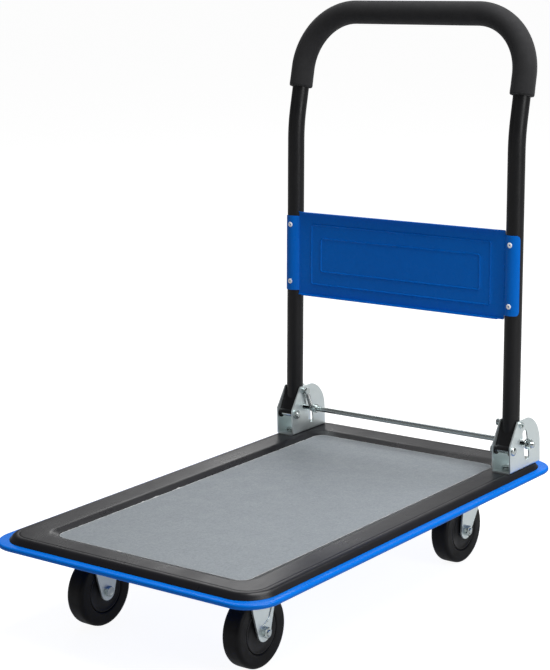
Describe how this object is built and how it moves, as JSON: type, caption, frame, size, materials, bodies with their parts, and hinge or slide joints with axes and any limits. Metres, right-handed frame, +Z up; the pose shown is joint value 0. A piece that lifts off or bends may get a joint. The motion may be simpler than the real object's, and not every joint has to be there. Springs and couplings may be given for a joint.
{
  "type": "folding platform cart",
  "caption": "Flat load-carrying platform on fixed front and swivelling rear casters, with a tubular push handle that folds down over the deck.",
  "frame": {"origin": "on the floor, at the bottom centre of the whole cart, which is also under the middle of the deck", "axes": "+X to the right, +Y to the rear where the handle stands, +Z up"},
  "size_m": [0.47, 0.74, 0.8273],
  "materials": {
    "blue_paint": "glossy enamel",
    "vinyl_border": "soft black vinyl, satin",
    "mat": "grey fine-grained anti-slip mat",
    "rail_paint": "glossy enamel",
    "zinc_sheet": "bright zinc plate",
    "zinc_hardware": "bright zinc plate",
    "spring_steel": "plain spring steel",
    "black_tube": "black satin powder coat",
    "black_foot": "black satin powder coat",
    "foam": "matte foam grip",
    "rivet_alloy": "plain aluminium",
    "tyre": "matte black rubber",
    "hub": "black moulded plastic"
  },
  "bodies": {
    "chassis": {"deck_pan": "blue_paint", "deck_cover": "vinyl_border", "grip_mat": "mat", "rail_left": "rail_paint", "rail_right": "rail_paint", "hinge_bracket_left": "zinc_sheet", "hinge_bracket_right": "zinc_sheet", "bracket_bolts": "zinc_hardware", "bracket_nuts": "zinc_hardware", "outer_studs": "zinc_hardware", "pivot_bolt_left": "zinc_hardware", "pivot_bolt_right": "zinc_hardware", "pivot_nut_left": "zinc_hardware", "pivot_nut_right": "zinc_hardware", "spring_stud_left": "zinc_hardware", "spring_stud_right": "zinc_hardware", "lock_spring_left": "spring_steel", "lock_spring_right": "spring_steel", "fixed_fork_left": "zinc_sheet", "fixed_fork_right": "zinc_sheet", "caster_bolts": "zinc_hardware", "caster_weld_nuts": "zinc_hardware", "swivel_plate_left": "zinc_sheet", "swivel_plate_right": "zinc_sheet", "kingpin_left": "zinc_hardware", "kingpin_right": "zinc_hardware", "swivel_balls_left": "spring_steel", "swivel_balls_right": "spring_steel", "axle_bolt_front_left": "zinc_hardware", "axle_nut_front_left": "zinc_hardware", "axle_bush_front_left": "zinc_hardware", "axle_bolt_front_right": "zinc_hardware", "axle_nut_front_right": "zinc_hardware", "axle_bush_front_right": "zinc_hardware"},
    "handle": {"handle_tube": "black_tube", "handle_grip": "foam", "handle_panel": "blue_paint", "panel_rivets": "rivet_alloy", "leg_foot_left": "black_foot", "leg_foot_right": "black_foot"},
    "lock": {"lock_bar": "zinc_hardware", "lock_bar_collars": "zinc_hardware", "lock_bar_nuts": "zinc_hardware"},
    "swivel_left": {"swivel_fork_left": "zinc_sheet", "axle_bolt_rear_left": "zinc_hardware", "axle_nut_rear_left": "zinc_hardware", "axle_bush_rear_left": "zinc_hardware"},
    "swivel_right": {"swivel_fork_right": "zinc_sheet", "axle_bolt_rear_right": "zinc_hardware", "axle_nut_rear_right": "zinc_hardware", "axle_bush_rear_right": "zinc_hardware"},
    "wheel_front_left": {"tyre_front_left": "tyre", "wheel_hub_front_left": "hub"},
    "wheel_front_right": {"tyre_front_right": "tyre", "wheel_hub_front_right": "hub"},
    "wheel_rear_left": {"tyre_rear_left": "tyre", "wheel_hub_rear_left": "hub"},
    "wheel_rear_right": {"tyre_rear_right": "tyre", "wheel_hub_rear_right": "hub"}
  },
  "joints": [
    {"name": "handle_fold", "type": "hinge", "parent": "chassis", "child": "handle", "pos_m": [0, 0.264, 0.173], "axis": [1, 0, 0], "range_deg": [0, 97]},
    {"name": "lock_release", "type": "slide", "parent": "chassis", "child": "lock", "axis": [0, 0.1738, -0.9848], "range_m": [0, 0.018], "stiffness_N_per_m": 1500, "springref_m": -0.007, "deforming": ["lock_spring_left", "lock_spring_right"]},
    {"name": "swivel_left", "type": "hinge", "parent": "chassis", "child": "swivel_left", "pos_m": [-0.136, 0.262, 0.12], "axis": [0, 0, 1], "continuous": true},
    {"name": "swivel_right", "type": "hinge", "parent": "chassis", "child": "swivel_right", "pos_m": [0.136, 0.262, 0.12], "axis": [0, 0, 1], "continuous": true},
    {"name": "spin_front_left", "type": "hinge", "parent": "chassis", "child": "wheel_front_left", "pos_m": [-0.136, -0.254, 0.05], "axis": [1, 0, 0], "continuous": true},
    {"name": "spin_rear_left", "type": "hinge", "parent": "swivel_left", "child": "wheel_rear_left", "pos_m": [-0.136, 0.233, 0.05], "axis": [1, 0, 0], "continuous": true},
    {"name": "spin_front_right", "type": "hinge", "parent": "chassis", "child": "wheel_front_right", "pos_m": [0.136, -0.254, 0.05], "axis": [1, 0, 0], "continuous": true},
    {"name": "spin_rear_right", "type": "hinge", "parent": "swivel_right", "child": "wheel_rear_right", "pos_m": [0.136, 0.233, 0.05], "axis": [1, 0, 0], "continuous": true}
  ]
}
